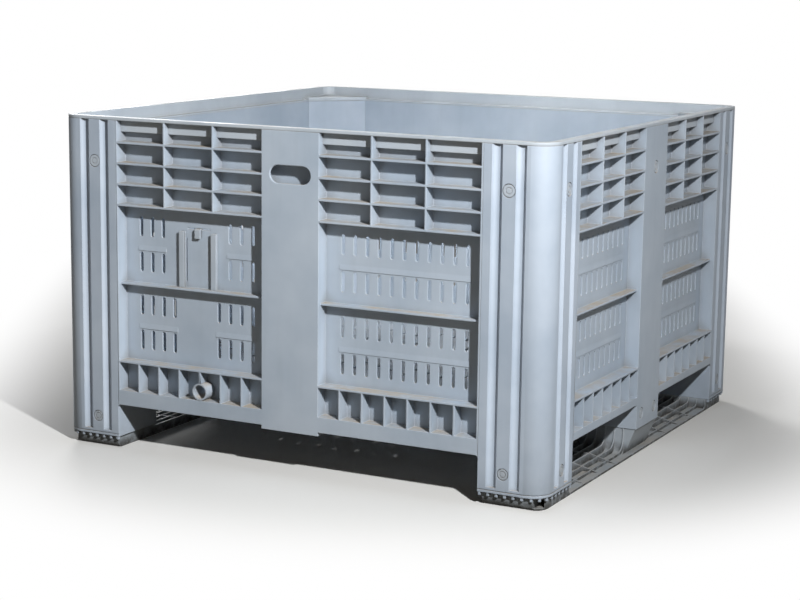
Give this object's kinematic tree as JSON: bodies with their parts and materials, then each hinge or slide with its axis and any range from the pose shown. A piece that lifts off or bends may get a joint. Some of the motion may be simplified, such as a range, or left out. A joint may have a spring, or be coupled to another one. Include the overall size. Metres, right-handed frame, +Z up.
{
  "type": "fruit bin",
  "caption": "Square vented plastic harvest bin with ribbed walls, fluted corner posts, a ledged rim, a slotted floor, fork ways between two skids, a card holder and a drain spout.",
  "frame": {"origin": "on the ground, under the middle of the bin", "axes": "+Z up, -Y out of the front wall with the card holder and the drain, +X to its right"},
  "size_m": [1.165, 1.165, 0.734],
  "materials": {
    "wall_plastic": "moulded satin",
    "post_plastic": "moulded satin",
    "rim_plastic": "moulded satin",
    "floor_plastic": "moulded satin",
    "skid_plastic": "moulded, scuffed and soiled",
    "pin_plastic": "moulded satin",
    "fitting_plastic": "moulded satin"
  },
  "bodies": {
    "root": {"front_wall": "wall_plastic", "right_wall": "wall_plastic", "back_wall": "wall_plastic", "left_wall": "wall_plastic", "post_front_left": "post_plastic", "post_front_right": "post_plastic", "post_back_left": "post_plastic", "post_back_right": "post_plastic", "top_rim": "rim_plastic", "floor_deck": "floor_plastic", "left_skid": "skid_plastic", "right_skid": "skid_plastic", "drain_spout": "fitting_plastic", "card_rail_left": "fitting_plastic", "card_rail_right": "fitting_plastic", "card_latch": "fitting_plastic", "upper_post_pins": "pin_plastic", "lower_post_pins": "pin_plastic", "leg_pins": "pin_plastic", "pillar_plugs": "pin_plastic"}
  },
  "joints": []
}
